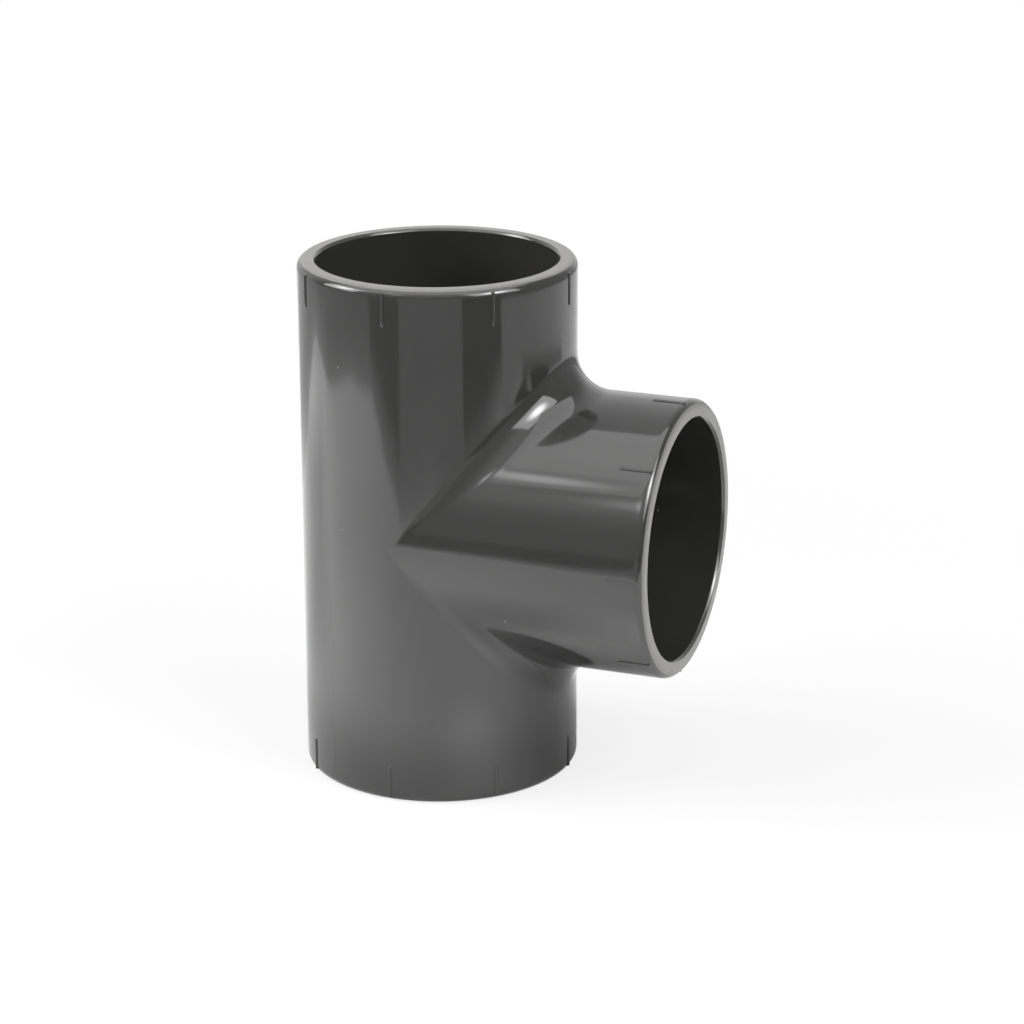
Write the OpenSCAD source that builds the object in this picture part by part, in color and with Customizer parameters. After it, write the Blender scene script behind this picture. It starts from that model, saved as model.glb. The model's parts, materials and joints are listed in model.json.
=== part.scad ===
// Equal 90 degree tee for solvent-cemented pressure pipe, moulded in one piece.
// It stands on the mouth of its lower socket. The origin is the centre of that mouth,
// Z runs up the run axis and X points along the branch axis. Lengths are in millimetres.

/* [Sockets] */
// Outside diameter of the pipe that each socket takes
pipe_d = 90; // [60:1:125]
// Play on the diameter between the pipe and the socket bore
socket_play = 0.2; // [0.1:0.05:0.6]
// Depth of each socket, from its mouth to the pipe stop
socket_depth = 51; // [36:1:75]
// Height of the pipe stop above the outside of the pipe
stop_step = 4; // [2:0.5:8]
// Distance from the side of the crossing pipe line to each pipe stop
stop_margin = 3; // [1:0.5:15]

/* [Body] */
// Wall around each socket
wall = 7.1; // [5.5:0.1:12]
// Radius of the blend in the two crotches between the run and the branch
crotch_r = 14.5; // [6:0.5:22]

/* [Mouths] */
// Rounding of the outer edge of each mouth
rim_round = 3.2; // [0.8:0.1:4.5]
// Lead-in chamfer on the inner edge of each mouth
mouth_chamfer = 1.2; // [0.4:0.1:2.4]

/* [Alignment marks] */
// Number of raised alignment marks around each mouth
mark_count = 8; // [2:1:12]
// Distance from the mouth to the inner end of each mark
mark_len = 14; // [8:1:18]
// Width of each mark where it leaves the wall
mark_w = 1.2; // [0.6:0.1:3]
// Height of each mark above the wall
mark_h = 0.5; // [0.2:0.1:1.2]

/* [Hidden] */
// Bore of a socket, and outside radius of the run and the branch
socket_d = pipe_d + socket_play;
body_r = socket_d / 2 + wall;
// Bore of the waterway between the pipe stops
waterway_d = pipe_d - 2 * stop_step;
// Distance from the crossing of the axes to each pipe stop and to each mouth
stop_reach = pipe_d / 2 + stop_margin;
mouth_reach = stop_reach + socket_depth;
// The outer rounding leaves a flat ring on the mouth
flat_ring_min = 0.6;
rim_r = min(rim_round, wall - mouth_chamfer - flat_ring_min);
// The marks have a round back: radius of that back, and depth of its centre under the wall.
// They start part of the way down the rounding of the mouth.
mark_r = (mark_w * mark_w / 4 + mark_h * mark_h) / (2 * mark_h);
mark_sunk = mark_r - mark_h;
mark_start = rim_r / 2;
// Cuts run past the faces that they open
cut_over = 1;
// The edges of a crotch blend lie this far under the walls that they flow into
blend_sunk = 0.03;
// The blend runs round to this angle on each side, where the two walls are almost flush and
// its last section dips under them
blend_end = 84;
blend_end_sunk = 0.25;
// Steps of the blend along the crotch and across it
blend_stations = 42;
blend_rows = 10;
$fn = 96;

// Half section of a straight barrel of the given length with rounded outer edges at both
// ends, or at the far end only
module barrel_section(length, round_start) {
    start = round_start ? rim_r : 0;
    square([body_r - rim_r, length]);
    translate([0, start])
        square([body_r, length - rim_r - start]);
    translate([body_r - rim_r, length - rim_r])
        circle(r = rim_r);
    if (round_start)
        translate([body_r - rim_r, rim_r])
            circle(r = rim_r);
}

// Raised marks around one mouth, which lies at height 0 and faces down
module mouth_marks() {
    for (i = [0 : mark_count - 1])
        rotate([0, 0, i * 360 / mark_count])
            translate([body_r - mark_sunk, 0, mark_start])
                rotate_extrude()
                    intersection() {
                        union() {
                            square([mark_r, mark_len - mark_start - mark_r]);
                            translate([0, mark_len - mark_start - mark_r])
                                circle(r = mark_r);
                        }
                        square([mark_r, mark_len]);
                    }
}

// Barrel of the run with the marks of both its mouths
module run_barrel() {
    rotate_extrude()
        barrel_section(2 * mouth_reach, true);
    mouth_marks();
    translate([0, 0, 2 * mouth_reach])
        mirror([0, 0, 1])
            mouth_marks();
}

// Barrel of the branch with the marks of its mouth, from the crossing of the axes outwards
module branch_barrel() {
    rotate([0, 90, 0]) {
        rotate_extrude()
            barrel_section(mouth_reach, false);
        translate([0, 0, mouth_reach])
            mirror([0, 0, 1])
                mouth_marks();
    }
}

// Point on the blend of the upper crotch: the blend is the inner side of a ball that rolls
// along both barrels. The angle a goes round the run from the branch side, and t goes from
// 0 on the run to 1 on the branch.
function blend_point(a, t) =
    let (
        ball = (body_r + crotch_r) * [cos(a), sin(a), cos(a)],
        to_run = [cos(a), sin(a), 0],
        to_branch = [0, sin(a), cos(a)],
        spread = acos(sin(a) * sin(a)),
        out = (sin((1 - t) * spread) * to_run + sin(t * spread) * to_branch) / sin(spread),
        at_end = abs(a) >= blend_end,
        at_edge = t == 0 || t == 1,
        sunk = at_end ? blend_end_sunk : at_edge ? blend_sunk : 0
    )
    ball - (crotch_r + sunk) * out;

// Heel of the blend's section, inside the walls under the mitre line
function blend_heel(a) = (body_r - wall / 2) * [cos(a), sin(a), cos(a)];

// Solid that fills the upper crotch, about the crossing of the axes
module crotch_blend() {
    ring = blend_rows + 2;
    angle = [for (i = [0 : blend_stations]) blend_end * (2 * i / blend_stations - 1)];
    points = [
        for (a = angle) each concat(
            [for (j = [0 : blend_rows]) blend_point(a, j / blend_rows)],
            [blend_heel(a)]
        )
    ];
    sides = [
        for (i = [0 : blend_stations - 1])
            for (j = [0 : ring - 1])
                let (
                    k = (j + 1) % ring,
                    near = i * ring,
                    far = near + ring
                )
                each [[near + j, far + j, far + k], [near + j, far + k, near + k]]
    ];
    last = blend_stations * ring;
    heel = ring - 1;
    ends = [
        for (j = [0 : blend_rows - 1])
            each [[heel, j, j + 1], [last + heel, last + j + 1, last + j]]
    ];
    polyhedron(points = points, faces = concat(sides, ends));
}

// Socket bore with its lead-in, cut into a mouth that lies at height 0 and faces down
module socket_cut() {
    lead_in = mouth_chamfer + cut_over;
    translate([0, 0, -cut_over])
        cylinder(d = socket_d, h = socket_depth + cut_over);
    translate([0, 0, -cut_over])
        cylinder(d1 = socket_d + 2 * lead_in, d2 = socket_d, h = lead_in);
}

// Everything that is hollow: three sockets and the waterway that joins them
module waterway_cut() {
    socket_cut();
    translate([0, 0, 2 * mouth_reach])
        mirror([0, 0, 1])
            socket_cut();
    cylinder(d = waterway_d, h = 2 * mouth_reach);
    translate([0, 0, mouth_reach])
        rotate([0, 90, 0]) {
            cylinder(d = waterway_d, h = mouth_reach);
            translate([0, 0, mouth_reach])
                mirror([0, 0, 1])
                    socket_cut();
        }
}

// The whole moulding
module tee_body() {
    color([0.27, 0.27, 0.27])
        difference() {
            union() {
                run_barrel();
                translate([0, 0, mouth_reach]) {
                    branch_barrel();
                    crotch_blend();
                    mirror([0, 0, 1])
                        crotch_blend();
                }
            }
            waterway_cut();
        }
}

tee_body();
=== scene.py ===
"""Looks of a moulded equal pipe tee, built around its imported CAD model.

The tee stands on the mouth of its lower socket. Lengths are in metres, Z runs up the run
and X points along the branch. The whole moulding is one closed mesh, worked out on grids of
two parameters: three sleeves, one for each mouth, and the two blends in the crotches.
"""

import json
import logging
import math
from dataclasses import dataclass, field
from enum import Enum
from functools import reduce
from typing import Any

import bmesh
import bpy
import numpy as np
from mathutils import Matrix, Vector

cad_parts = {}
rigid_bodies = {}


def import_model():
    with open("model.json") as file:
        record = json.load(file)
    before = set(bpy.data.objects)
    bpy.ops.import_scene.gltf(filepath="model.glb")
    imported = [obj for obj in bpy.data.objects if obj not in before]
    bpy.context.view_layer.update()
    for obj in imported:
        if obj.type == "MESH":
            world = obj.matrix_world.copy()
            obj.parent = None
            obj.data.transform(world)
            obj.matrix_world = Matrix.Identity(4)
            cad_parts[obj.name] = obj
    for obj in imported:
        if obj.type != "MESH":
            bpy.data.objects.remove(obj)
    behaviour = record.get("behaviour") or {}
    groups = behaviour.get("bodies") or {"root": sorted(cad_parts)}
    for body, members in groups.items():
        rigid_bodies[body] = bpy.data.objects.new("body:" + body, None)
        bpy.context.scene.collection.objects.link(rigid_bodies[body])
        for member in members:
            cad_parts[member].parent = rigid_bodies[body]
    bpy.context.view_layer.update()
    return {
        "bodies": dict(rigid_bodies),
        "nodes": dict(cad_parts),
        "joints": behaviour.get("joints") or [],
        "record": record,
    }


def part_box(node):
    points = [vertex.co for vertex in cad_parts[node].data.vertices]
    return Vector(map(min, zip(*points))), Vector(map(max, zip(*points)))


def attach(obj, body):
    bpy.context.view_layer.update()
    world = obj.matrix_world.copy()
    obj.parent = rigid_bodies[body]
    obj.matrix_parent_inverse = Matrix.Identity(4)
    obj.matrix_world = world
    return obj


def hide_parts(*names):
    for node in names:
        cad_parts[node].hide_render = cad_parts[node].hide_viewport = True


log = logging.getLogger("tee")

MM = 0.001
TINY = 1e-9
WORN_FACE = "worn_face"


class Mouth(Enum):
    """The three mouths of the tee: the two of its run, and the branch's."""

    RUN_UPPER = "run_upper"
    RUN_LOWER = "run_lower"
    BRANCH = "branch"


def smooth_step(x: np.ndarray, low: float, high: float) -> np.ndarray:
    """Rise smoothly from 0 at low to 1 at high: 3t^2 - 2t^3, with t clipped to 0..1."""
    t = np.clip((x - low) / (high - low), 0.0, 1.0)
    return t * t * (3.0 - 2.0 * t)


def arc(centre: tuple[float, float], radius: float, degrees: np.ndarray) -> np.ndarray:
    """Points of an arc in the plane of depth and radius.

    A point is centre + radius * (cos t, sin t), with one point for each angle t.

    Args:
        centre: Depth and radius of the arc's centre.
        radius: Radius of the arc itself.
        degrees: Angles of the points, from the depth axis.

    Returns:
        An array of (depth, radius) rows.
    """
    t = np.radians(degrees)
    return np.stack([centre[0] + radius * np.cos(t), centre[1] + radius * np.sin(t)], axis=1)


def line(start: tuple[float, float], end: tuple[float, float], steps: int) -> np.ndarray:
    """Evenly spaced (depth, radius) points between two points, without the ends themselves."""
    t = np.linspace(0.0, 1.0, steps + 1)[1:-1, None]
    return (1.0 - t) * np.array(start) + t * np.array(end)


@dataclass(frozen=True)
class TeeSizes:
    """Sizes of the moulding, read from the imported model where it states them.

    Attributes:
        body_r: Outside radius of the run and the branch.
        bore_r: Radius of the socket bores.
        reach: Distance from the crossing of the axes to each mouth.
        socket_depth: Depth of each socket, from its mouth to the pipe stop.
        chamfer: Lead-in chamfer on the inner edge of each mouth.
        waterway_r: Radius of the waterway behind the pipe stops.
        crotch_r: Radius of the blends between the run and the branch.
        rim_r: Rounding of the outer edge of each mouth.
    """

    body_r: float
    bore_r: float
    reach: float
    socket_depth: float
    chamfer: float
    waterway_r: float = 41.0 * MM
    crotch_r: float = 14.5 * MM
    rim_r: float = 3.2 * MM

    @classmethod
    def from_frame(cls, frame: dict[str, Any], node: str, mark_height: float) -> "TeeSizes":
        """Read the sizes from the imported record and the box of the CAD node.

        Args:
            node: Name of the CAD node.
            mark_height: Height of the raised marks, which the node's box includes.

        Returns:
            The sizes of the moulding.
        """
        low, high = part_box(node)
        mounts = {m["name"]: m for m in frame["record"]["mounts"]}
        socket = mounts["lower_socket"]
        chamfer = socket["pos_m"][2]
        return cls(
            body_r=-low.x - mark_height,
            bore_r=socket["dims"]["r_mm"] * MM,
            reach=high.x,
            socket_depth=chamfer + socket["dims"]["length_mm"] * MM,
            chamfer=chamfer,
        )

    @property
    def blend_reach(self) -> float:
        """Distance from the crossing to the end of the blend, measured along an axis."""
        return self.body_r + self.crotch_r


@dataclass(frozen=True)
class AlignmentMarks:
    """Raised marks with a round back, evenly spaced around each mouth.

    Attributes:
        count: Number of marks around a mouth.
        length: Distance from the mouth to the inner end of a mark.
        width: Width of a mark where it leaves the wall.
        height: Height of a mark over the wall.
        start: Distance from the mouth at which the marks start, part of the way down the rim.
        start_soft: Distance over which they rise, on each side of their start.
        lines: Places of the mesh's lines across a mark, as shares of half of its width.
        lines_beside: Distances of the next lines from a mark's side.
        rows: Places of the mesh's rows around a mark's round end, as shares of its radius.
    """

    count: int = 8
    length: float = 14.0 * MM
    width: float = 1.2 * MM
    height: float = 0.5 * MM
    start: float = 1.6 * MM
    start_soft: float = 0.12 * MM
    lines: tuple[float, ...] = (0.0, 0.3, 0.56, 0.76, 0.9, 1.0)
    lines_beside: tuple[float, ...] = (0.07 * MM, 0.3 * MM)
    rows: tuple[float, ...] = (0.0, 0.25, 0.48, 0.68, 0.83, 0.93, 1.0, 1.12, 1.5)

    @property
    def back_r(self) -> float:
        """Radius of the round back, from the width and height of its segment."""
        return (self.width**2 / 4.0 + self.height**2) / (2.0 * self.height)

    @property
    def end_centre(self) -> float:
        """Depth of the centre of the round inner end of each mark."""
        return self.length - self.back_r

    def line_offsets(self) -> np.ndarray:
        """Distances from a mark's middle at which the mesh needs a line."""
        half = self.width / 2.0
        return np.concatenate([half * np.array(self.lines), half + np.array(self.lines_beside)])

    def row_depths(self) -> np.ndarray:
        """Depths at which the mesh needs a row around the round end of each mark."""
        return self.end_centre + self.back_r * np.array(self.rows)

    def height_over_wall(self, aside: np.ndarray, depth: np.ndarray) -> np.ndarray:
        """Height of the marks over the wall; negative where there is none.

        Height = sqrt(back_r^2 - aside^2 - beyond^2) - (back_r - height), where beyond is how
        far the depth lies past the centre of the mark's round end. Past the mark's side it is
        far below every wall.

        Args:
            aside: Distance around the wall from the nearest mark's middle line.
            depth: Distance from the mouth.

        Returns:
            The height, in metres.
        """
        beyond = np.maximum(depth - self.end_centre, 0.0)
        square = self.back_r**2 - aside**2 - beyond**2
        back = np.sqrt(np.maximum(square, 0.0)) - (self.back_r - self.height)
        far_below = -8.0 * self.back_r
        return np.where(square > 0.0, back, far_below)

    def starts(self, depth: np.ndarray) -> np.ndarray:
        """Share of a mark's height that stands at a depth: 0 near the mouth, then 1."""
        return smooth_step(depth, self.start - self.start_soft, self.start + self.start_soft)


@dataclass(frozen=True)
class PartingLine:
    """Fine witness line that the two halves of the mould leave in the plane of the axes.

    Attributes:
        height: Height of the line over the wall, at its middle.
        spread: Distance from its middle at which its height is 1/e of that.
    """

    height: float = 0.07 * MM
    spread: float = 0.16 * MM

    def height_over_wall(self, aside: np.ndarray) -> np.ndarray:
        """Height of the line: height * exp(-(aside / spread)^2)."""
        return self.height * np.exp(-((aside / self.spread) ** 2))


@dataclass
class GridMesh:
    """A mesh gathered from grids of points, each a surface of two parameters.

    Attributes:
        points: Points of each grid, in rows of 3 coordinates.
        quads: Faces of each grid, in rows of 4 point numbers.
        count: Number of points in all grids.
    """

    points: list[np.ndarray] = field(default_factory=list)
    quads: list[np.ndarray] = field(default_factory=list)
    count: int = 0

    def add(self, grid: np.ndarray, closed: bool) -> None:
        """Add one grid.

        Args:
            grid: Points in an array of rows, columns and 3 coordinates.
            closed: Whether the last column joins the first.
        """
        rows, columns = grid.shape[:2]
        index = self.count + np.arange(rows * columns).reshape(rows, columns)
        if closed:
            index = np.concatenate([index, index[:, :1]], axis=1)
        corners = [index[:-1, :-1], index[:-1, 1:], index[1:, 1:], index[1:, :-1]]
        self.quads.append(np.stack(corners, axis=-1).reshape(-1, 4))
        self.points.append(grid.reshape(-1, 3))
        self.count += rows * columns

    def gathered(self) -> tuple[np.ndarray, np.ndarray]:
        """All the points and all the faces of the grids."""
        return np.concatenate(self.points), np.concatenate(self.quads)

    def build(self, name: str, weld: float, sharp_degrees: float) -> bpy.types.Object:
        """Make one closed object of the grids.

        Args:
            name: Name of the object.
            weld: Points nearer than this are merged, which joins the grids.
            sharp_degrees: Edges that turn by more than this stay sharp.

        Returns:
            The object, linked to the scene.
        """
        points, quads = self.gathered()
        mesh = bpy.data.meshes.new(name)
        mesh.from_pydata(points, [], quads)
        work = bmesh.new()
        work.from_mesh(mesh)
        bmesh.ops.remove_doubles(work, verts=work.verts, dist=weld)
        bmesh.ops.recalc_face_normals(work, faces=work.faces)
        loose = sum(1 for edge in work.edges if not edge.is_manifold)
        work.to_mesh(mesh)
        work.free()
        mesh.shade_smooth()
        mesh.set_sharp_from_angle(angle=math.radians(sharp_degrees))
        piece = bpy.data.objects.new(name, mesh)
        bpy.context.scene.collection.objects.link(piece)
        log.info("%s: %d faces, %d open edges", name, len(mesh.polygons), loose)
        return piece


@dataclass(frozen=True)
class MeshSteps:
    """How finely the mesh of the moulding is divided, in numbers of steps.

    Attributes:
        barrel: From the blend to the inner ends of the marks.
        blend: Across each blend.
        marks: Along the straight part of the marks, down to the rim.
        rim: Round the rim: down to the start of the marks, there, and on to the flat ring.
        flat: Across the flat ring.
        lead_in: Down the lead-in.
        socket: Along the socket bore.
        stop: Round the fillet and round the edge of the pipe stop.
        waterway: Along the waterway.
    """

    barrel: int = 12
    blend: int = 28
    marks: int = 5
    rim: tuple[int, int, int] = (6, 4, 11)
    flat: int = 3
    lead_in: int = 6
    socket: int = 6
    stop: int = 4
    waterway: int = 5


@dataclass
class TeeMoulding:
    """The one moulding of the tee: its barrels, mouths, sockets, waterway and blends.

    Attributes:
        sizes: Sizes of the moulding.
        marks: The raised alignment marks.
        parting: The witness line of the mould.
        steps: How finely the mesh is divided.
        line_step: Angle between the mesh's lines away from the marks, in degrees.
        start_gap: Angle on the rim from the start of the marks to the plain rows, in degrees.
        start_span: Angle that the rows at that start span to each side, in degrees.
        lead_in: How far the rounded lead-in of each socket widens it at the mouth.
        lead_in_round: How round that lead-in is, from 0 for a plain chamfer to 1.
        lead_in_gap: Distance from the lead-in to the bore's first row, where its wear ends.
        stop_fillet: Fillet at the foot of each pipe stop.
        stop_edge: Rounding of the inner edge of each pipe stop.
        worn_depth: Depth to which the rounded rims are worn like the mouth faces.
        worn_lead_in: Share of that wear on the lead-ins.
        weld: Points nearer than this are merged, which joins the grids.
        sharp_degrees: Edges that turn by more than this stay sharp.
    """

    sizes: TeeSizes
    marks: AlignmentMarks
    parting: PartingLine
    steps: MeshSteps = MeshSteps()
    line_step: float = 1.5
    start_gap: float = 4.0
    start_span: float = 2.4
    lead_in: float = 0.85 * MM
    lead_in_round: float = 0.25
    lead_in_gap: float = 0.1 * MM
    stop_fillet: float = 0.8 * MM
    stop_edge: float = 0.6 * MM
    worn_depth: float = 0.5 * MM
    worn_lead_in: float = 0.15
    weld: float = 0.002 * MM
    sharp_degrees: float = 35.0

    def line_angles(self) -> np.ndarray:
        """Angles of the mesh's lines around a barrel, in radians, dense at each mark.

        Returns:
            The angles, in order. They are their own mirror image about both axes, so that the
            grids share the points along their common edges.
        """
        step = 360.0 / self.marks.count
        offsets = np.degrees(self.marks.line_offsets() / self.sizes.body_r)
        offsets = np.concatenate([-offsets[:0:-1], offsets])
        near_mark = (step * np.arange(self.marks.count)[:, None] + offsets).ravel()
        even = np.arange(0.0, 360.0, self.line_step)
        from_mark = np.abs((even + step / 2.0) % step - step / 2.0)
        even = even[from_mark > offsets.max() + self.line_step / 4.0]
        return np.radians(np.sort(np.concatenate([near_mark, even]) % 360.0))

    def mouth_profile(self) -> np.ndarray:
        """Profile of a mouth and its socket: (depth from the mouth, radius) rows.

        It runs in along the barrel, round the rim, over the flat ring, down the lead-in, along
        the socket bore and over the pipe stop to the start of the waterway. The lead-in lies
        between a straight cone and a quarter of an ellipse: with u from 0 to 1 and t = 90 u
        degrees it goes to (chamfer * (r (1 - cos t) + (1 - r) u),
        bore_r + lead_in * (r (1 - sin t) + (1 - r) (1 - u))), where r is lead_in_round.

        Returns:
            An array of (depth, radius) rows.
        """
        s, steps = self.sizes, self.steps
        u = np.linspace(0.0, 1.0, steps.lead_in + 1)
        t = u * math.pi / 2.0
        r = self.lead_in_round
        lead_in = np.stack([
            s.chamfer * (r * (1.0 - np.cos(t)) + (1.0 - r) * u),
            s.bore_r + self.lead_in * (r * (1.0 - np.sin(t)) + (1.0 - r) * (1.0 - u)),
        ], axis=1)
        start = 180.0 - np.degrees(np.arccos(1.0 - self.marks.start / s.rim_r))
        rim_degrees = np.concatenate([
            np.linspace(90.0, start - self.start_gap, steps.rim[0] + 1),
            start + np.linspace(-self.start_span, self.start_span, steps.rim[1] + 1),
            np.linspace(start + self.start_gap, 180.0, steps.rim[2] + 1),
        ])
        depths = np.concatenate([
            self.marks.row_depths()[::-1],
            np.linspace(self.marks.end_centre, s.rim_r, steps.marks + 1)[1:-1],
        ])
        bottom = s.socket_depth - self.stop_fillet
        return np.concatenate([
            np.stack([depths, np.full_like(depths, s.body_r)], axis=1),
            arc((s.rim_r, s.body_r - s.rim_r), s.rim_r, rim_degrees),
            line((0.0, s.body_r - s.rim_r), (0.0, s.bore_r + self.lead_in), steps.flat),
            lead_in,
            np.array([[s.chamfer + self.lead_in_gap, s.bore_r]]),
            line((s.chamfer, s.bore_r), (bottom, s.bore_r), steps.socket),
            arc(
                (bottom, s.bore_r - self.stop_fillet),
                self.stop_fillet,
                np.linspace(90.0, 0.0, steps.stop + 1),
            ),
            arc(
                (s.socket_depth + self.stop_edge, s.waterway_r + self.stop_edge),
                self.stop_edge,
                np.linspace(180.0, 270.0, steps.stop + 1),
            ),
        ])

    def outer_relief(self, angles: np.ndarray, depth: np.ndarray, radius: np.ndarray) -> np.ndarray:
        """Radius of the outer wall with its marks and its parting line.

        The wall is the larger of the profile with the parting line and, past the start of the
        marks, the back of the nearest mark. The parting line fades out over the rim.

        Args:
            angles: Angle of each point around the barrel.
            depth: Distance of each point from the mouth.
            radius: Radius of the plain profile there.

        Returns:
            The radius of each point.
        """
        s = self.sizes
        step = 2.0 * math.pi / self.marks.count
        to_mark = s.body_r * np.abs((angles + step / 2.0) % step - step / 2.0)
        to_plane = s.body_r * np.abs((angles + math.pi / 2.0) % math.pi - math.pi / 2.0)
        on_wall = np.clip((radius - (s.body_r - s.rim_r)) / s.rim_r, 0.0, 1.0)
        lined = radius + on_wall * self.parting.height_over_wall(to_plane)
        mark = s.body_r + self.marks.height_over_wall(to_mark, depth)
        return lined + self.marks.starts(depth) * np.maximum(mark - lined, 0.0)

    def sleeve(self, mouth: Mouth) -> np.ndarray:
        """One barrel with its mouth, its socket and its part of the waterway, as a grid.

        The distance w from the crossing starts at the blend, (body_r + crotch_r) * cos a, runs
        out to the mouth and comes back inside to waterway_r * cos a, where the waterways meet.
        On the half of the run that faces away from the branch both ends lie at w = 0.

        Args:
            mouth: The mouth that the barrel ends in.

        Returns:
            The grid of points.
        """
        s = self.sizes
        angles = self.line_angles()[None, :]
        facing = np.abs(np.cos(angles)) if mouth is Mouth.BRANCH else np.maximum(np.cos(angles), 0.0)
        profile = self.mouth_profile()
        depth, radius = profile[:, :1], profile[:, 1:]
        t = np.linspace(0.0, 1.0, self.steps.barrel + 1)[:-1, None]
        out = s.blend_reach * facing
        out_w = out + (s.reach - depth[0] - out) * t
        t = np.linspace(0.0, 1.0, self.steps.waterway + 1)[1:, None]
        back = s.waterway_r * facing
        back_w = s.reach - depth[-1] + (back - s.reach + depth[-1]) * t
        w = np.concatenate([out_w, s.reach - depth + 0.0 * angles, back_w])
        rho = np.concatenate([
            np.full_like(out_w, s.body_r),
            radius + 0.0 * angles,
            np.full_like(back_w, s.waterway_r),
        ])
        outer = self.outer_relief(angles + 0.0 * w, s.reach - w, rho)
        last_outer = self.steps.barrel + int(np.argmax(profile[:, 0] <= TINY))
        is_outer = np.arange(len(w))[:, None] <= last_outer
        rho = np.where(is_outer, outer, rho)
        across, along = rho * np.cos(angles), rho * np.sin(angles)
        if mouth is Mouth.BRANCH:
            return np.stack([w, along, s.reach + across], axis=-1)
        side = 1.0 if mouth is Mouth.RUN_UPPER else -1.0
        return np.stack([across, along, s.reach + side * w], axis=-1)

    def blend(self, side: float) -> np.ndarray:
        """One crotch blend as a grid: the inner side of a ball that rolls along both barrels.

        The ball's centre is (body_r + crotch_r) * (cos a, sin a, cos a). A point lies crotch_r
        from it, against a direction that turns from the run's normal (cos a, sin a, 0) at
        t = 0 to the branch's normal (0, sin a, cos a) at t = 1.

        Args:
            side: 1 for the upper crotch, -1 for the lower one.

        Returns:
            The grid of points.
        """
        s = self.sizes
        angles = self.line_angles()
        quarter, slack = 0.5 * math.pi, 0.0001 * math.pi
        behind = angles[angles > 3.0 * quarter - slack] - 4.0 * quarter
        angles = np.concatenate([behind, angles[angles < quarter + slack]])
        cos, sin = np.cos(angles), np.sin(angles)
        cos[[0, -1]] = 0.0
        zero = np.zeros_like(cos)
        centre = s.blend_reach * np.stack([cos, sin, cos], axis=-1)
        on_run = np.stack([cos, sin, zero], axis=-1)
        on_branch = np.stack([zero, sin, cos], axis=-1)
        spread = np.maximum(np.arccos(np.clip(sin * sin, -1.0, 1.0)), TINY)[None, :, None]
        t = np.linspace(0.0, 1.0, self.steps.blend + 1)[:, None, None]
        out = (np.sin((1.0 - t) * spread) * on_run + np.sin(t * spread) * on_branch) / np.sin(spread)
        grid = centre - s.crotch_r * out
        lift = self.parting.height_over_wall(s.body_r * angles)[None, :, None]
        grid = grid + lift * out
        return grid * np.array([1.0, 1.0, side]) + np.array([0.0, 0.0, s.reach])

    def worn_faces(self, points: np.ndarray) -> np.ndarray:
        """Share of wear at each point: the mouth's flat ring and the edges on both its sides.

        With the depth from a mouth and the radius from its axis, a point outside the middle
        of the flat ring is worn down to worn_depth, with a soft end. Inside it the flat is
        worn, and the lead-in by the share worn_lead_in, down to where the bore starts.

        Args:
            points: Points in rows of 3 coordinates.

        Returns:
            One share for each point, from 0 to 1.
        """
        s = self.sizes
        x, y, z = points[:, 0], points[:, 1], points[:, 2]
        on_run = np.hypot(x, y)
        on_branch = np.hypot(y, z - s.reach)
        middle_r = (s.body_r - s.rim_r + s.bore_r + self.lead_in) / 2.0
        rim_fade, rim_end = 0.7 * self.worn_depth, 1.3 * self.worn_depth
        flat_end, lead_in_fade = 0.2 * self.worn_depth, 0.9 * s.chamfer
        share = np.zeros(len(points))
        for depth, radius in ((z, on_run), (2.0 * s.reach - z, on_run), (s.reach - x, on_branch)):
            outside = 1.0 - smooth_step(depth, rim_fade, rim_end)
            flat = 1.0 - smooth_step(depth, 0.0, flat_end)
            on_lead_in = 1.0 - smooth_step(depth, lead_in_fade, s.chamfer)
            inside = np.maximum(flat, self.worn_lead_in * on_lead_in)
            on_tee = radius < s.body_r + self.marks.height + MM
            share = np.maximum(share, np.where(radius > middle_r, outside, inside) * on_tee)
        return share

    def build(self, name: str) -> bpy.types.Object:
        """Build the closed mesh of the whole moulding.

        Args:
            name: Name of the object.

        Returns:
            The object, with its wear as an attribute of its points.
        """
        mesh = GridMesh()
        for mouth in Mouth:
            mesh.add(self.sleeve(mouth), closed=True)
        for side in (1.0, -1.0):
            mesh.add(self.blend(side), closed=False)
        piece = mesh.build(name, self.weld, self.sharp_degrees)
        points = np.empty(3 * len(piece.data.vertices), dtype=np.float32)
        piece.data.vertices.foreach_get("co", points)
        worn = piece.data.attributes.new(WORN_FACE, "FLOAT", "POINT")
        worn.data.foreach_set("value", self.worn_faces(points.reshape(-1, 3)).astype(np.float32))
        return piece


def new_material(name: str) -> tuple[bpy.types.Material, "NodeDesk"]:
    """Make a node material and the desk that its nodes are set up on.

    Args:
        name: Name of the material.

    Returns:
        The material, and a desk for its node tree.
    """
    material = bpy.data.materials.new(name)
    material.use_nodes = True
    return material, NodeDesk(material.node_tree)


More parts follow.
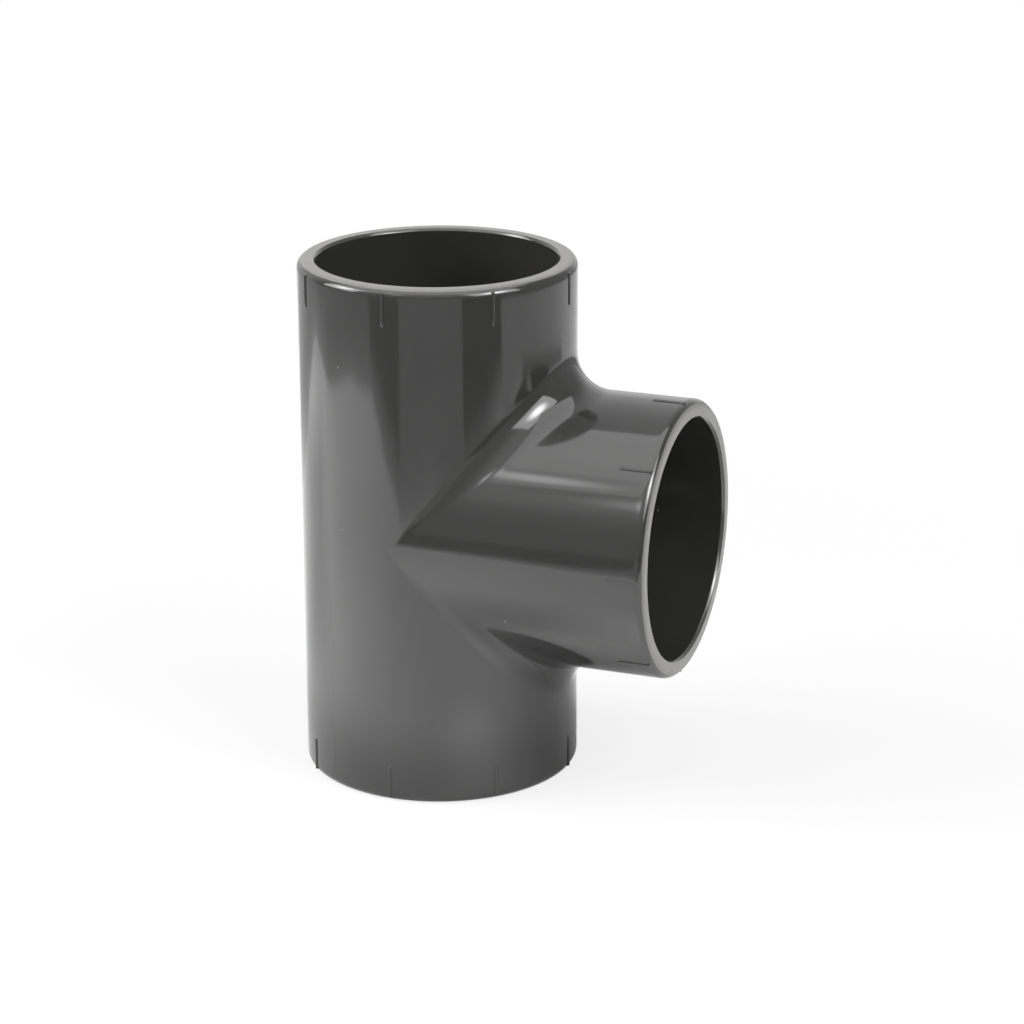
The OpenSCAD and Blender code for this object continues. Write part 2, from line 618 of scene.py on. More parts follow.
@dataclass
class NodeDesk:
    """Short ways to place nodes in one tree and to wire them.

    Attributes:
        tree: The node tree.
    """

    tree: bpy.types.NodeTree

    def node(self, kind: str, **settings: Any) -> bpy.types.Node:
        """Add a node.

        Args:
            kind: Type of the node.
            settings: Properties to set on it.

        Returns:
            The node.
        """
        node = self.tree.nodes.new(kind)
        for key, value in settings.items():
            setattr(node, key, value)
        return node

    def wire(self, socket: bpy.types.NodeSocket, value: Any) -> None:
        """Feed an input.

        Args:
            socket: The input.
            value: Another node's output, or a plain value.
        """
        if isinstance(value, bpy.types.NodeSocket):
            self.tree.links.new(value, socket)
        else:
            socket.default_value = value

    def maths(self, operation: str, *values: Any) -> bpy.types.NodeSocket:
        """Work out one number from others.

        Args:
            operation: Name of the operation.
            values: Outputs or plain numbers to work on.

        Returns:
            The result.
        """
        node = self.node("ShaderNodeMath", operation=operation)
        for socket, value in zip(node.inputs, values):
            self.wire(socket, value)
        return node.outputs[0]

    def product(self, *values: Any) -> bpy.types.NodeSocket:
        """Multiply two or more numbers."""
        return reduce(lambda first, second: self.maths("MULTIPLY", first, second), values)

    def total(self, *values: Any) -> bpy.types.NodeSocket:
        """Add two or more numbers."""
        return reduce(lambda first, second: self.maths("ADD", first, second), values)

    def ramp(self, value: Any, low: float, high: float, start: float, end: float) -> bpy.types.NodeSocket:
        """Go smoothly from one number to another: start + (end - start) (3t^2 - 2t^3).

        Args:
            value: What drives it, with t from 0 at low to 1 at high.
            low: Value up to which the result is start.
            high: Value from which the result is end.
            start: First number.
            end: Last number.

        Returns:
            The number at the value.
        """
        node = self.node("ShaderNodeMapRange", interpolation_type="SMOOTHSTEP")
        for socket, number in zip(node.inputs, (value, low, high, start, end)):
            self.wire(socket, number)
        return node.outputs["Result"]

    def blend(self, share: Any, first: float, second: float) -> bpy.types.NodeSocket:
        """Go evenly from a first number to a second with a share."""
        return self.maths("MULTIPLY_ADD", share, second - first, first)

    def object_place(self) -> bpy.types.NodeSocket:
        """Position on the piece, in its own coordinates."""
        return self.node("ShaderNodeTexCoord").outputs["Object"]

    def vector(self, operation: str, first: Any, second: Any = None) -> bpy.types.Node:
        """Work on one or two vectors.

        Args:
            operation: Name of the operation.
            first: First vector.
            second: Second vector, where the operation takes one.

        Returns:
            The node that does it.
        """
        node = self.node("ShaderNodeVectorMath", operation=operation)
        self.wire(node.inputs[0], first)
        if second is not None:
            self.wire(node.inputs[1], second)
        return node

    def mix(self, share: Any, first: Any, second: Any) -> bpy.types.NodeSocket:
        """Mix two colours.

        Args:
            share: Share of the second colour.
            first: First colour, as an output or as three numbers.
            second: Second colour.

        Returns:
            The mixed colour.
        """
        node = self.node("ShaderNodeMix", data_type="RGBA")
        self.wire(node.inputs["Factor"], share)
        for socket, colour in ((node.inputs[6], first), (node.inputs[7], second)):
            self.wire(socket, (*colour, 1.0) if isinstance(colour, tuple) else colour)
        return node.outputs[2]

    def scale(self, colour: Any, factor: Any) -> bpy.types.NodeSocket:
        """Make a colour brighter or darker.

        Args:
            colour: The colour.
            factor: What it is multiplied by.

        Returns:
            The changed colour.
        """
        node = self.vector("SCALE", colour)
        self.wire(node.inputs["Scale"], factor)
        return node.outputs[0]

    def noise(self, place: Any, scale: float, detail: float = 2.0) -> bpy.types.NodeSocket:
        """Soft noise.

        Args:
            place: Where it is looked up.
            scale: Number of its lumps to the metre.
            detail: Number of finer layers.

        Returns:
            The noise, from 0 to 1.
        """
        node = self.node("ShaderNodeTexNoise")
        self.wire(node.inputs["Vector"], place)
        self.wire(node.inputs["Scale"], scale)
        self.wire(node.inputs["Detail"], detail)
        return node.outputs["Fac"]


class Along(Enum):
    """What a share of brightness changes along."""

    X = "X"
    Y = "Y"
    Z = "Z"
    AWAY = "away"


@dataclass(frozen=True)
class Fade:
    """A share that changes smoothly over a stretch of the set.

    Attributes:
        along: An axis, or the distance away from the middle of the tee's foot.
        start: Place up to which the share is first.
        end: Place from which it is last.
        first: Share before the stretch.
        last: Share past it.
    """

    along: Along
    start: float
    end: float
    first: float
    last: float

    def share(self, desk: NodeDesk) -> bpy.types.NodeSocket:
        """Put the share into a material.

        Args:
            desk: Desk of the material.

        Returns:
            The share at each place of the piece.
        """
        if self.along is Along.AWAY:
            measure = desk.vector("LENGTH", desk.object_place()).outputs["Value"]
        else:
            split = desk.node("ShaderNodeSeparateXYZ")
            desk.wire(split.inputs[0], desk.object_place())
            measure = split.outputs[self.along.value]
        return desk.ramp(measure, self.start, self.end, self.first, self.last)


@dataclass(frozen=True)
class MouldedSkin:
    """Node group for the skin of a moulding.

    From a place it puts out a cloud (slow change of tone), a mask of tiny nicks (a few to the
    square decimetre, which the material paints pale as a painted glint), a haze (roughness to
    add, in patches and in fine scuffs) and a height in millimetres (long waves, orange peel and
    the nicks). A scale is a number to the metre.

    Attributes:
        cloud_scale: Scale of the cloud.
        cell_scale: Scale of the cells that may each hold a nick with its painted glint.
        bare_cells: Share of the cells that hold none.
        nick_and_glint_r: Radius of the smallest nick and of the largest, with their painted glints, in
            cells.
        nick_haze: Roughness that a nick adds.
        nick_height: Height of a nick, in millimetres.
        patch_scale: Scale of the patches.
        patch_span: Values of the noise between which a patch comes in.
        patch_haze: Roughness that a patch adds.
        run_scuffs: Scales of the scuffs along the run, in X, Y and Z.
        branch_scuffs: Scales of the scuffs along the branch.
        scuff_span: Values of the noise between which a scuff comes in.
        scuff_haze: Roughness that a scuff adds.
        wave_scale: Scale of the long waves.
        wave_height: Height of the waves, in millimetres.
        peel_scale: Scale of the orange peel.
        peel_height: Height of the orange peel, in millimetres.
    """

    cloud_scale: float = 22.0
    cell_scale: float = 110.0
    bare_cells: float = 0.86
    nick_and_glint_r: tuple[float, float] = (0.02, 0.06)
    nick_haze: float = 0.3
    nick_height: float = 0.02
    patch_scale: float = 60.0
    patch_span: tuple[float, float] = (0.35, 0.75)
    patch_haze: float = 0.035
    run_scuffs: tuple[float, float, float] = (900.0, 900.0, 18.0)
    branch_scuffs: tuple[float, float, float] = (14.0, 700.0, 700.0)
    scuff_span: tuple[float, float] = (0.70, 0.76)
    scuff_haze: float = 0.05
    wave_scale: float = 45.0
    wave_height: float = 0.03
    peel_scale: float = 380.0
    peel_height: float = 0.004

    def group(self) -> bpy.types.NodeTree:
        """Build the group, once.

        Returns:
            The group.
        """
        name = "moulded_skin"
        if name in bpy.data.node_groups:
            return bpy.data.node_groups[name]
        tree = bpy.data.node_groups.new(name, "ShaderNodeTree")
        tree.interface.new_socket("Place", in_out="INPUT", socket_type="NodeSocketVector")
        for output in ("Cloud", "Speck", "Haze", "Height"):
            tree.interface.new_socket(output, in_out="OUTPUT", socket_type="NodeSocketFloat")
        desk = NodeDesk(tree)
        place = desk.node("NodeGroupInput").outputs["Place"]
        end = desk.node("NodeGroupOutput")
        nick_and_glint = self.nicks_and_glints(desk, place)
        desk.wire(end.inputs["Cloud"], desk.noise(place, self.cloud_scale, detail=3.0))
        desk.wire(end.inputs["Speck"], nick_and_glint)
        desk.wire(end.inputs["Haze"], self.haze(desk, place, nick_and_glint))
        desk.wire(end.inputs["Height"], self.relief(desk, place, nick_and_glint))
        return tree

    def nicks_and_glints(self, desk: NodeDesk, place: bpy.types.NodeSocket) -> bpy.types.NodeSocket:
        """Nicks, which also carry a painted glint: a dot in the middle of a cell, in some of the cells.

        Args:
            desk: Desk of the group.
            place: Where the pattern is looked up.

        Returns:
            1 on a nick and 0 off it.
        """
        cells = desk.node("ShaderNodeTexVoronoi")
        desk.wire(cells.inputs["Vector"], place)
        desk.wire(cells.inputs["Scale"], self.cell_scale)
        pick = desk.node("ShaderNodeSeparateColor")
        desk.wire(pick.inputs[0], cells.outputs["Color"])
        chosen = desk.maths("GREATER_THAN", pick.outputs[0], self.bare_cells)
        radius = desk.ramp(pick.outputs[1], 0.0, 1.0, *self.nick_and_glint_r)
        near = desk.maths("LESS_THAN", cells.outputs["Distance"], radius)
        return desk.product(chosen, near)

    def haze(
        self, desk: NodeDesk, place: bpy.types.NodeSocket, nick_and_glint: bpy.types.NodeSocket
    ) -> bpy.types.NodeSocket:
        """Patches, the stronger of the two kinds of scuffs, and the nicks.

        Args:
            desk: Desk of the group.
            place: Where the patterns are looked up.
            nick_and_glint: Mask of the nicks.

        Returns:
            The roughness to add.
        """
        patches = desk.noise(place, self.patch_scale, detail=4.0)
        patches = desk.ramp(patches, *self.patch_span, 0.0, self.patch_haze)
        scuffs = []
        for scales in (self.run_scuffs, self.branch_scuffs):
            grain = desk.noise(desk.vector("MULTIPLY", place, scales).outputs[0], 1.0)
            scuffs.append(desk.ramp(grain, *self.scuff_span, 0.0, self.scuff_haze))
        nicks = desk.product(nick_and_glint, self.nick_haze)
        return desk.total(patches, desk.maths("MAXIMUM", *scuffs), nicks)

    def relief(
        self, desk: NodeDesk, place: bpy.types.NodeSocket, nick_and_glint: bpy.types.NodeSocket
    ) -> bpy.types.NodeSocket:
        """Long waves, orange peel and the nicks.

        Args:
            desk: Desk of the group.
            place: Where the patterns are looked up.
            nick_and_glint: Mask of the nicks.

        Returns:
            The height, in millimetres.
        """
        waves = desk.product(desk.noise(place, self.wave_scale, detail=1.0), self.wave_height)
        peel = desk.product(desk.noise(place, self.peel_scale), self.peel_height)
        return desk.total(waves, peel, desk.product(nick_and_glint, self.nick_height))


@dataclass(frozen=True)
class MouldedPvc:
    """Dark grey rigid PVC as it leaves a polished mould, with paler, matt mouth faces, and tiny nicks whose
    pale colour is a painted glint.

    Attributes:
        colour: Colour of the skin.
        face_and_glint_colour: Colour of the worn mouth faces, and of the painted glints on the nicks.
        roughness: Roughness of the skin.
        face_roughness: Roughness of the worn mouth faces.
        ior: Index of refraction.
        cloud: Share by which the colour wanders over the moulding.
        skin: The fine patterns of the skin.
    """

    colour: tuple[float, float, float] = (0.031, 0.0303, 0.0295)
    face_and_glint_colour: tuple[float, float, float] = (0.180, 0.177, 0.172)
    roughness: float = 0.07
    face_roughness: float = 0.36
    ior: float = 1.53
    cloud: float = 0.10
    skin: MouldedSkin = MouldedSkin()

    def material(self) -> bpy.types.Material:
        """Build the material.

        Returns:
            The material.
        """
        material, desk = new_material("moulded_pvc")
        shader = material.node_tree.nodes["Principled BSDF"]
        shader.inputs["IOR"].default_value = self.ior
        skin = desk.node("ShaderNodeGroup", node_tree=self.skin.group())
        desk.wire(skin.inputs["Place"], desk.object_place())
        worn = desk.node("ShaderNodeAttribute", attribute_name=WORN_FACE).outputs["Fac"]
        tone = desk.ramp(skin.outputs["Cloud"], 0.0, 1.0, 1.0 - self.cloud, 1.0 + self.cloud)
        colour = desk.mix(worn, self.colour, self.face_and_glint_colour)
        # Painted glint: the nicks take the pale face colour, which stands in for glints on them.
        colour = desk.mix(skin.outputs["Speck"], colour, self.face_and_glint_colour)
        desk.wire(shader.inputs["Base Color"], desk.scale(colour, tone))
        rough = desk.blend(worn, self.roughness, self.face_roughness)
        desk.wire(shader.inputs["Roughness"], desk.total(rough, skin.outputs["Haze"]))
        bump = desk.node("ShaderNodeBump")
        bump.inputs["Distance"].default_value = MM
        desk.wire(bump.inputs["Height"], skin.outputs["Height"])
        desk.wire(shader.inputs["Normal"], bump.outputs["Normal"])
        return material


@dataclass(frozen=True)
class PhotoCamera:
    """The camera at the photograph's viewing angle.

    Attributes:
        azimuth: Turn of the camera around the tee, in degrees from looking along +Y.
        elevation: Height of the camera over the horizon, in degrees.
        roll: Turn about the line of sight, in degrees.
        distance: Distance from the camera to its target plane.
        focal_px: Focal length in pixels of the photograph's frame.
        aside: How far the target lies to the right of the run's middle.
        above: How far the target lies above the run's middle.
        frame_px: Width of the photograph's frame in pixels.
        sensor_mm: Width of the sensor in millimetres.
        nearest: Distance from which the camera sees.
    """

    azimuth: float = 21.2612
    elevation: float = 18.4381
    roll: float = -0.2115
    distance: float = 1.2277
    focal_px: float = 3227.67
    aside: float = 27.38 * MM
    above: float = -0.98 * MM
    frame_px: float = 1024.0
    sensor_mm: float = 36.0
    nearest: float = 0.05

    def place(self, middle: Vector) -> bpy.types.Object:
        """Create the camera and make it the scene's own.

        Args:
            middle: Middle of the run, where its axis crosses the branch's.

        Returns:
            The camera.
        """
        azimuth, elevation = math.radians(self.azimuth), math.radians(self.elevation)
        back = Vector((
            math.sin(azimuth) * math.cos(elevation),
            -math.cos(azimuth) * math.cos(elevation),
            math.sin(elevation),
        ))
        right = Vector((math.cos(azimuth), math.sin(azimuth), 0.0))
        up = back.cross(right)
        roll = math.radians(self.roll)
        side = math.cos(roll) * right + math.sin(roll) * up
        top = math.cos(roll) * up - math.sin(roll) * right
        target = middle + self.aside * right + self.above * up
        data = bpy.data.cameras.new("photo_camera")
        data.sensor_width = self.sensor_mm
        data.lens = self.focal_px * self.sensor_mm / self.frame_px
        data.clip_start = self.nearest
        camera = bpy.data.objects.new("photo_camera", data)
        turn = Matrix((side, top, back)).transposed().to_4x4()
        camera.matrix_world = Matrix.Translation(target + self.distance * back) @ turn
        bpy.context.scene.collection.objects.link(camera)
        bpy.context.scene.camera = camera
        return camera


@dataclass(frozen=True)
class Bearing:
    """A place seen from the middle of the tee.

    Attributes:
        azimuth: Angle from +X towards +Y, in degrees.
        elevation: Angle over the horizon, in degrees.
        distance: Distance from the middle of the tee.
    """

    azimuth: float
    elevation: float
    distance: float

    def place(self, middle: Vector) -> Vector:
        """Find the place.

        Args:
            middle: Middle of the tee.

        Returns:
            The point at this bearing from there.
        """
        azimuth, elevation = math.radians(self.azimuth), math.radians(self.elevation)
        flat = math.cos(elevation) * self.distance
        reach = Vector((
            flat * math.cos(azimuth),
            flat * math.sin(azimuth),
            math.sin(elevation) * self.distance,
        ))
        return middle + reach


@dataclass(frozen=True)
class Softbox:
    """A rectangular softbox that faces the tee or, where it hangs high, straight down.

    The lamp gives the plain soft light. Its white front, which only gloss shows, is a card.

    Attributes:
        name: Name of the softbox.
        bearing: Where it hangs.
        width: Width of its front.
        height: Height of its front.
        watts: Power of the lamp.
        glow: Brightness of the middle of its front in reflections, where 1 is white.
        edge_glow: Brightness at the edges of its front.
        tilt: Turn about the line to the tee, in degrees.
    """

    name: str
    bearing: Bearing
    width: float
    height: float
    watts: float
    glow: float
    edge_glow: float
    tilt: float = 0.0


@dataclass(frozen=True)
class FloorCard:
    """A card on the floor, a sector beyond the table's edge, that only gloss shows.

    Attributes:
        name: Name of the card.
        start: Azimuth of its one side, in degrees.
        end: Azimuth of its other side.
        near: Distances at which it starts, evenly spaced from its one side to the other.
        far: Distance at which it ends.
        glow: Brightness in reflections, where 0 is black and 1 is white.
        soft: Width over which it goes from the table's brightness to its own.
        edge_glow: Brightness at its near edge.
    """

    name: str
    start: float
    end: float
    near: tuple[float, ...]
    far: float
    glow: float
    soft: float = 0.14
    edge_glow: float = 1.2


@dataclass(frozen=True)
class TableSpot:
    """A painted pool of light on the table, with a soft edge, that only gloss shows.

    Attributes:
        x: Place of its middle along X.
        y: Place of its middle along Y.
        radius: Its radius.
        glow: Brightness that its middle adds.
    """

    x: float
    y: float
    radius: float
    glow: float


@dataclass
class Studio:
    """White table and backdrop, soft lamps, and the dark room that gloss shows around them.

    Attributes:
        middle: Middle of the tee.
        turn: Azimuth of the set's own right-hand side, which is the camera's, in degrees.
        softboxes: The softboxes in front of the tee and over it.
        cards: Cards on the floor.
        spots: Painted pools of light on the table.
        fill: Strength of the even light from all around.
        level_from: Elevation from which a softbox faces straight down, in degrees.
        front_fall: Share of a front's half size over which its middle is brighter.
        card_steps: Steps of a card's mesh around the tee, and across its soft edge.
        card_lift: Height of the cards over the table.
        floor_size: Side of the floor.
        floor_white: Colour of the floor, the same in red, green and blue.
        floor_roughness: Roughness of the floor.
        shadow: Share of plain white over the floor's own shading, as the camera sees it.
        foot: Share of the table's brightness, less under the tee: painted shade at its foot.
        table_glow: Brightness that reflections of the table have over its lit colour.
        table_back: Share of that, less behind the tee, as a painted shadow of the tee.
        left_glow: Brightness that the left of the table has over that, as a painted pool of light.
        table_left: Share of that, from the left to the tee.
        table_left_back: Share of that, less behind, as painted shadow.
        room_r: Radius of the dark room.
        room_sides: Azimuths between which the room comes down to the floor, in degrees.
        room_ledge: Elevation from which it goes all the way round, in degrees.
        room_steps: Steps of the room's mesh around it below that, above that, and up each part.
        room_glow: Brightness of the dark room in reflections.
        room_front: Share of the brightness that the room has in front.
        room_top: Share of ceiling_glow there, over front_glow low down.
        front_glow: Brightness that the room has low down in front, over room_glow.
        ceiling_glow: Brightness that the room has high up in front, over room_glow.
        back_glow: Brightness that the room has behind, over room_glow.
        room_back: Share of that, from the front to behind.
        room_back_right: Share of that, less on the right.
    """

    middle: Vector
    turn: float
    softboxes: tuple[Softbox, ...] = (
        Softbox("left_softbox", Bearing(-155.0, 33.0, 1.5), 0.88, 1.10, 23.0, 18.0, 6.0),
        Softbox("right_softbox", Bearing(-17.5, 36.0, 1.5), 1.06, 0.90, 17.0, 23.0, 5.2),
        Softbox("overhead_softbox", Bearing(-110.0, 78.5, 1.1), 1.9, 1.07, 6.0, 3.0, 2.8),
        Softbox("front_strip", Bearing(-117.0, 50.5, 1.15), 0.23, 0.26, 0.3, 6.0, 2.3, 35.0),
        Softbox("low_strip", Bearing(-105.0, 40.0, 2.2), 0.66, 0.72, 0.6, 5.5, 1.3),
    )
    cards: tuple[FloorCard, ...] = (
        FloorCard("front_left_card", -123.0, -98.2, (0.60, 0.48, 0.39), 2.6, 0.32),
        FloorCard("front_card", -98.2, -48.5, (0.38, 0.39, 0.42, 0.34, 0.34), 2.6, 0.85),
        FloorCard("front_right_card", -48.5, -16.5, (0.42, 0.46, 0.56), 2.6, 0.20),
        FloorCard("near_right_card", 2.0, 50.0, (0.44, 0.44), 0.64, 0.44, 0.05, 0.8),
        FloorCard("right_card", -16.5, 70.0, (0.50, 0.64, 0.64, 0.64, 0.64), 0.82, 1.15, 0.03, 1.1),
        FloorCard("far_right_card", -16.5, 85.0, (0.82, 0.82), 2.6, 0.35, 0.06, 1.1),
        FloorCard("left_card", -225.0, -123.0, (0.34, 0.44, 0.68, 0.57, 0.61, 0.59), 2.6, 0.80),
    )
    spots: tuple[TableSpot, ...] = (
        TableSpot(-0.13, -0.13, 0.20, 0.75),
        TableSpot(0.075, -0.085, 0.06, 0.60),
        TableSpot(0.045, -0.040, 0.045, 0.35),
        TableSpot(-0.570, 0.060, 0.20, 0.90),
    )
    fill: float = 0.06
    level_from: float = 60.0
    front_fall: float = 0.85
    card_steps: tuple[int, int] = (24, 6)
    card_lift: float = 0.4 * MM
    floor_size: float = 8.0
    floor_white: float = 0.9
    floor_roughness: float = 0.8
    shadow: Fade = Fade(Along.AWAY, 0.12, 0.5, 0.8, 1.0)
    foot: Fade = Fade(Along.AWAY, 0.07, 0.14, 0.10, 1.0)
    table_glow: float = 0.87
    table_back: Fade = Fade(Along.Y, -0.10, 0.0, 1.0, 0.40)
    left_glow: float = 0.60
    table_left: Fade = Fade(Along.X, -0.38, 0.02, 1.0, 0.0)
    table_left_back: Fade = Fade(Along.Y, -0.10, 0.03, 1.0, 0.15)
    room_r: float = 2.6
    room_sides: tuple[float, float] = (-195.0, 85.0)
    room_ledge: float = 47.0
    room_steps: tuple[int, int, int] = (60, 80, 12)
    room_glow: float = 0.28
    room_front: Fade = Fade(Along.Y, -1.5, -0.4, 1.0, 0.0)
    room_top: Fade = Fade(Along.Z, 0.7, 2.0, 0.0, 1.0)
    front_glow: float = 0.30
    ceiling_glow: float = 1.2
    back_glow: float = 0.7
    room_back: Fade = Fade(Along.Y, -0.3, 0.6, 0.0, 1.0)
    room_back_right: Fade = Fade(Along.X, 0.0, 1.2, 1.0, 0.25)

    def glow_material(self, name: str, glow: float) -> bpy.types.Material:
        """Make the material of a card that shines evenly.

        Args:
            name: Name of the material.
            glow: Its brightness.

        Returns:
            The material.
        """
        material, desk = new_material(name)
        desk.tree.nodes.clear()
        shine = desk.node("ShaderNodeEmission")
        shine.inputs["Strength"].default_value = glow
        desk.wire(desk.node("ShaderNodeOutputMaterial").inputs["Surface"], shine.outputs[0])
        return material

    def gloss_card(self, name: str, points: np.ndarray, quads: np.ndarray, glow: float) -> bpy.types.Object:
        """Set up a card that neither the camera nor soft light sees, only gloss.

        Args:
            name: Name of the card.
            points: Its corners.
            quads: Its faces.
            glow: Its brightness.

        Returns:
            The card.
        """
        mesh = bpy.data.meshes.new(name)
        mesh.from_pydata(points, [], quads)
        card = bpy.data.objects.new(name, mesh)
        bpy.context.scene.collection.objects.link(card)
        mesh.materials.append(self.glow_material(name, glow))
        card.visible_camera = False
        card.visible_diffuse = False
        card.visible_shadow = False
        return card

    def lay(self, card: FloorCard) -> None:
        """Lay one card on the floor: a sector from the near distances out to the far one.

        A point is distance * (cos a, sin a, 0). Between two of the near distances the near edge
        goes evenly with the azimuth a, and next to it the rows are close together.

        Args:
            card: The card.
        """
        around, across = self.card_steps
        a = np.radians(np.linspace(card.start, card.end, around + 1))
        ring = np.stack([np.cos(a), np.sin(a), np.zeros_like(a)], axis=1)
        lift = np.array([0.0, 0.0, self.card_lift])
        places = np.linspace(0.0, 1.0, len(card.near))
        near = np.interp(np.linspace(0.0, 1.0, around + 1), places, card.near)[:, None]
        share = np.linspace(0.0, 1.0, across + 1)
        rows = [(near + card.soft * t) * ring + lift for t in share] + [card.far * ring + lift]
        mesh = GridMesh()
        mesh.add(np.stack(rows), closed=False)
        piece = self.gloss_card(card.name, *mesh.gathered(), card.glow)
        inward = piece.data.attributes.new("inward", "FLOAT", "POINT")
        inward.data.foreach_set("value", np.repeat(np.append(share, 1.0), len(a)).astype(np.float32))
        desk = NodeDesk(piece.active_material.node_tree)
        inward_share = desk.node("ShaderNodeAttribute", attribute_name="inward").outputs["Fac"]
        glow = desk.ramp(inward_share, 0.0, 1.0, card.edge_glow, card.glow)
        desk.wire(self.shine_of(desk), glow)
        log.info("%s: glow %.2f", card.name, card.glow)

    def shine_of(self, desk: NodeDesk) -> bpy.types.NodeSocket:
        """Strength of a card's glow, to be fed."""
        shine = next(n for n in desk.tree.nodes if n.bl_idname == "ShaderNodeEmission")
        return shine.inputs["Strength"]

    def hang(self, box: Softbox) -> None:
        """Hang one softbox: the lamp, and its front as gloss shows it.

        Args:
            box: The softbox.
        """
        place = box.bearing.place(self.middle)
        back = (place - self.middle).normalized()
        aside = Vector((math.cos(math.radians(self.turn)), math.sin(math.radians(self.turn)), 0.0))
        if box.bearing.elevation < self.level_from:
            aside = Vector((0.0, 0.0, 1.0)).cross(back).normalized()
        else:
            back = Vector((0.0, 0.0, 1.0))
        up = back.cross(aside)
        tilt = math.radians(box.tilt)
        aside, up = (
            math.cos(tilt) * aside + math.sin(tilt) * up,
            math.cos(tilt) * up - math.sin(tilt) * aside,
        )
        data = bpy.data.lights.new(box.name, "AREA")
        data.shape = "RECTANGLE"
        data.size, data.size_y = box.width, box.height
        data.energy = box.watts
        lamp = bpy.data.objects.new(box.name, data)
        lamp.matrix_world = Matrix.Translation(place) @ Matrix((aside, up, back)).transposed().to_4x4()
        lamp.visible_camera = False
        lamp.visible_glossy = False
        bpy.context.scene.collection.objects.link(lamp)
        half_w, half_h = box.width / 2.0 * aside, box.height / 2.0 * up
        corners = [place + a * half_w + b * half_h for a, b in ((-1, -1), (1, -1), (1, 1), (-1, 1))]
        quads = np.array([[0, 1, 2, 3]])
        front = self.gloss_card(box.name + "_front", np.array(corners), quads, box.glow)
        self.shade_front(front, box, place, (aside / (box.width / 2.0), up / (box.height / 2.0)))
        log.info("%s: %.1f W, front %.2f by %.2f m", box.name, box.watts, box.width, box.height)

    def shade_front(
        self, front: bpy.types.Object, box: Softbox, place: Vector, axes: tuple[Vector, Vector]
    ) -> None:
        """Make the front of a softbox brighter in its middle than at its edges.

        Along each axis the share falls smoothly from 1 in the middle to 0 near the edge, and
        the glow goes from edge_glow to glow with the product of the two.

        Args:
            front: The card.
            box: The softbox.
            place: Middle of the front.
            axes: The front's own axes, each divided by half of its size.
        """
        desk = NodeDesk(front.active_material.node_tree)
        shares = []
        for axis in axes:
            along = desk.vector("DOT_PRODUCT", desk.object_place(), axis).outputs["Value"]
            off = desk.maths("ABSOLUTE", desk.maths("SUBTRACT", along, place.dot(axis)))
            shares.append(desk.ramp(off, 0.0, self.front_fall, 1.0, 0.0))
        desk.wire(self.shine_of(desk), desk.ramp(desk.product(*shares), 0.0, 1.0, box.edge_glow, box.glow))

    def room(self) -> None:
        """Put up the dark room: a dome that is open low down behind the tee.

        It is brighter in front, most of all high up, and behind, but less so on the right.
        """
        start, end = self.room_sides
        around_low, around_high, up = self.room_steps
        elevations = np.linspace(0.0, self.room_ledge, up + 1)
        low = self.dome_grid(np.linspace(start, end, around_low + 1), elevations)
        elevations = np.linspace(self.room_ledge, 90.0, up + 1)
        high = self.dome_grid(np.linspace(start, start + 360.0, around_high + 1), elevations)
        mesh = GridMesh()
        mesh.add(low, closed=False)
        mesh.add(high, closed=False)
        room = self.gloss_card("dark_room", *mesh.gathered(), self.room_glow)
        desk = NodeDesk(room.active_material.node_tree)
        in_front = desk.blend(self.room_top.share(desk), self.front_glow, self.ceiling_glow)
        in_front = desk.product(self.room_front.share(desk), in_front)
        behind = desk.product(self.room_back.share(desk), self.room_back_right.share(desk), self.back_glow)
        desk.wire(self.shine_of(desk), desk.total(in_front, behind, self.room_glow))
        log.info("dark_room: radius %.1f m", self.room_r)

    def dome_grid(self, azimuths: np.ndarray, elevations: np.ndarray) -> np.ndarray:
        """Part of the room's dome: room_r * (cos e cos a, cos e sin a, sin e)."""
        a, e = np.meshgrid(np.radians(azimuths), np.radians(elevations))
        return self.room_r * np.stack([np.cos(e) * np.cos(a), np.cos(e) * np.sin(a), np.sin(e)], axis=-1)

    def floor(self) -> bpy.types.Object:
        """Build the white table that the tee stands on.

        Returns:
            The table.
        """
        half = self.floor_size / 2.0
        corners = [(-half, -half, 0.0), (half, -half, 0.0), (half, half, 0.0), (-half, half, 0.0)]
        mesh = bpy.data.meshes.new("studio_floor")
        mesh.from_pydata(corners, [], [(0, 1, 2, 3)])
        floor = bpy.data.objects.new("studio_floor", mesh)
        bpy.context.scene.collection.objects.link(floor)
        mesh.materials.append(self.floor_material())
        return floor

    def floor_material(self) -> bpy.types.Material:
        """Make the material of the table: white to the camera, with the tee's soft shadow.

        Returns:
            The material.
        """
        material, desk = new_material("studio_floor")
        shader = material.node_tree.nodes["Principled BSDF"]
        shader.inputs["Base Color"].default_value = (*[self.floor_white] * 3, 1.0)
        shader.inputs["Roughness"].default_value = self.floor_roughness
        shader.inputs["Specular IOR Level"].default_value = 0.0
        path = desk.node("ShaderNodeLightPath")
        seen = desk.maths("MAXIMUM", path.outputs["Is Camera Ray"], path.outputs["Is Transmission Ray"])
        white = desk.node("ShaderNodeEmission")
        mix = desk.node("ShaderNodeMixShader")
        desk.wire(mix.inputs[0], desk.product(seen, self.shadow.share(desk)))
        desk.wire(mix.inputs[1], shader.outputs[0])
        desk.wire(mix.inputs[2], white.outputs[0])
        # Painted light and shade that only gloss sees on the table: pools of light, and shade under and
        # behind the tee.
        glow = desk.node("ShaderNodeEmission")
        shine = desk.product(path.outputs["Is Glossy Ray"], self.table_shine(desk))
        desk.wire(glow.inputs["Strength"], shine)
        both = desk.node("ShaderNodeAddShader")
        desk.wire(both.inputs[0], mix.outputs[0])
        desk.wire(both.inputs[1], glow.outputs[0])
        desk.wire(material.node_tree.nodes["Material Output"].inputs["Surface"], both.outputs[0])
        return material

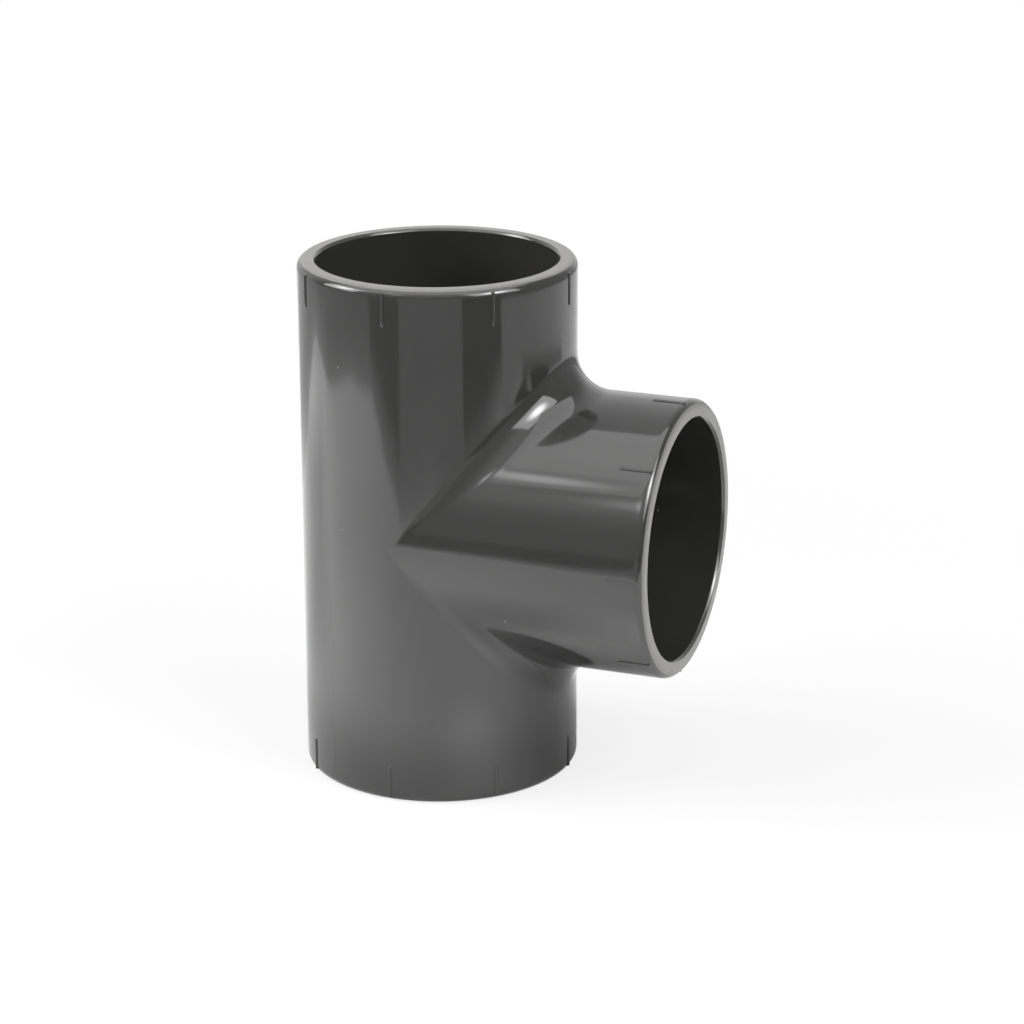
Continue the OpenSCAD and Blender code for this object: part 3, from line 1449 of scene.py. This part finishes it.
    def table_shine(self, desk: NodeDesk) -> bpy.types.NodeSocket:
        """Brightness that gloss sees on the table, over its lit colour.

        It is table_glow and on the left more by left_glow (a painted pool of light), each less
        behind (a painted shadow of the tee), all of it less under the tee (painted shade), with
        each bright spot (a painted pool of light) on top.

        Args:
            desk: Desk of the table's material.

        Returns:
            The brightness.
        """
        table = desk.product(self.table_back.share(desk), self.table_glow)
        left = desk.product(self.table_left.share(desk), self.table_left_back.share(desk), self.left_glow)
        shine = desk.product(desk.total(table, left), self.foot.share(desk))
        for bright in self.spots:
            off = desk.vector("DISTANCE", desk.object_place(), (bright.x, bright.y, 0.0))
            shine = desk.total(shine, desk.ramp(off.outputs["Value"], 0.0, bright.radius, bright.glow, 0.0))
        return shine

    def world(self) -> None:
        """Light the surroundings evenly, and show them white."""
        world = bpy.data.worlds.new("studio")
        bpy.context.scene.world = world
        world.use_nodes = True
        desk = NodeDesk(world.node_tree)
        background = world.node_tree.nodes["Background"]
        background.inputs["Color"].default_value = (1.0, 1.0, 1.0, 1.0)
        path = desk.node("ShaderNodeLightPath")
        seen = desk.maths("MAXIMUM", path.outputs["Is Camera Ray"], path.outputs["Is Transmission Ray"])
        seen = desk.maths("MAXIMUM", seen, path.outputs["Is Glossy Ray"])
        desk.wire(background.inputs["Strength"], desk.blend(seen, self.fill, 1.0))

    def build(self) -> None:
        """Build the whole studio."""
        self.world()
        self.floor()
        self.room()
        for box in self.softboxes:
            self.hang(box)
        for card in self.cards:
            self.lay(card)


def main() -> None:
    """Build the tee, its camera and its studio."""
    logging.basicConfig(level=logging.INFO, format="%(name)s: %(message)s")
    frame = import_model()
    marks = AlignmentMarks()
    sizes = TeeSizes.from_frame(frame, "tee_body", marks.height)
    middle = Vector((0.0, 0.0, sizes.reach))
    PhotoCamera().place(middle)
    moulding = TeeMoulding(sizes, marks, PartingLine())
    tee = moulding.build("tee_moulding")
    tee.data.materials.append(MouldedPvc().material())
    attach(tee, "root")
    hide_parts("tee_body")
    Studio(middle, PhotoCamera.azimuth).build()
    bpy.context.scene.view_settings.view_transform = "Standard"


if __name__ == "__main__":
    main()
